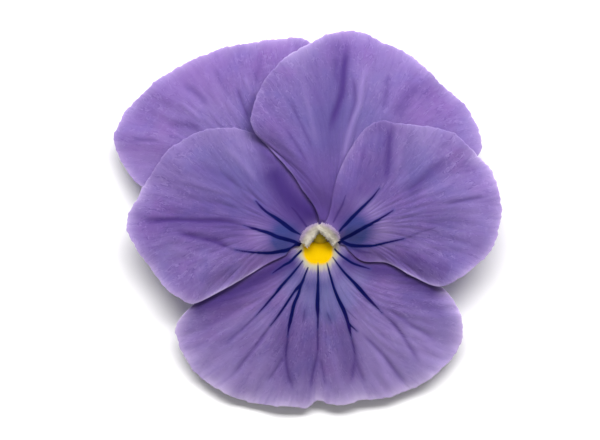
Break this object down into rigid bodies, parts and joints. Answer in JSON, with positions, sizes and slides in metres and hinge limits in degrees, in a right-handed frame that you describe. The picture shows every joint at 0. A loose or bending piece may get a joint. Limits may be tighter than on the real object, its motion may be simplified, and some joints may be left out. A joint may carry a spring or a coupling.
{
  "type": "pansy flower",
  "caption": "Pansy bloom lying face up: overlapping violet petals with dark nectar guides, a yellow eye, a bearded throat and a hollow nectar spur.",
  "frame": {"origin": "on the surface it lies on, below the middle of the bloom's bounding box", "axes": "+Z out of the bloom's face, +Y from the throat towards the upper petals, +X to the right of someone who looks at the face"},
  "size_m": [0.0552, 0.0539, 0.0107],
  "materials": {
    "petal": "velvety, matt",
    "beard": "fine white hairs",
    "pistil": "waxy",
    "anther": "dry, powdery",
    "calyx": "smooth leaf, satin",
    "stalk": "smooth stem, satin"
  },
  "bodies": {
    "root": {"petal_upper_left": "petal", "petal_upper_right": "petal", "petal_side_left": "petal", "petal_side_right": "petal", "petal_lower": "petal", "beard_left": "beard", "beard_right": "beard", "pistil": "pistil", "stamen_1": "anther", "stamen_2": "anther", "stamen_3": "anther", "stamen_4": "anther", "stamen_5": "anther", "receptacle": "calyx", "sepal_1": "calyx", "sepal_2": "calyx", "sepal_3": "calyx", "sepal_4": "calyx", "sepal_5": "calyx", "pedicel": "stalk"}
  },
  "joints": []
}
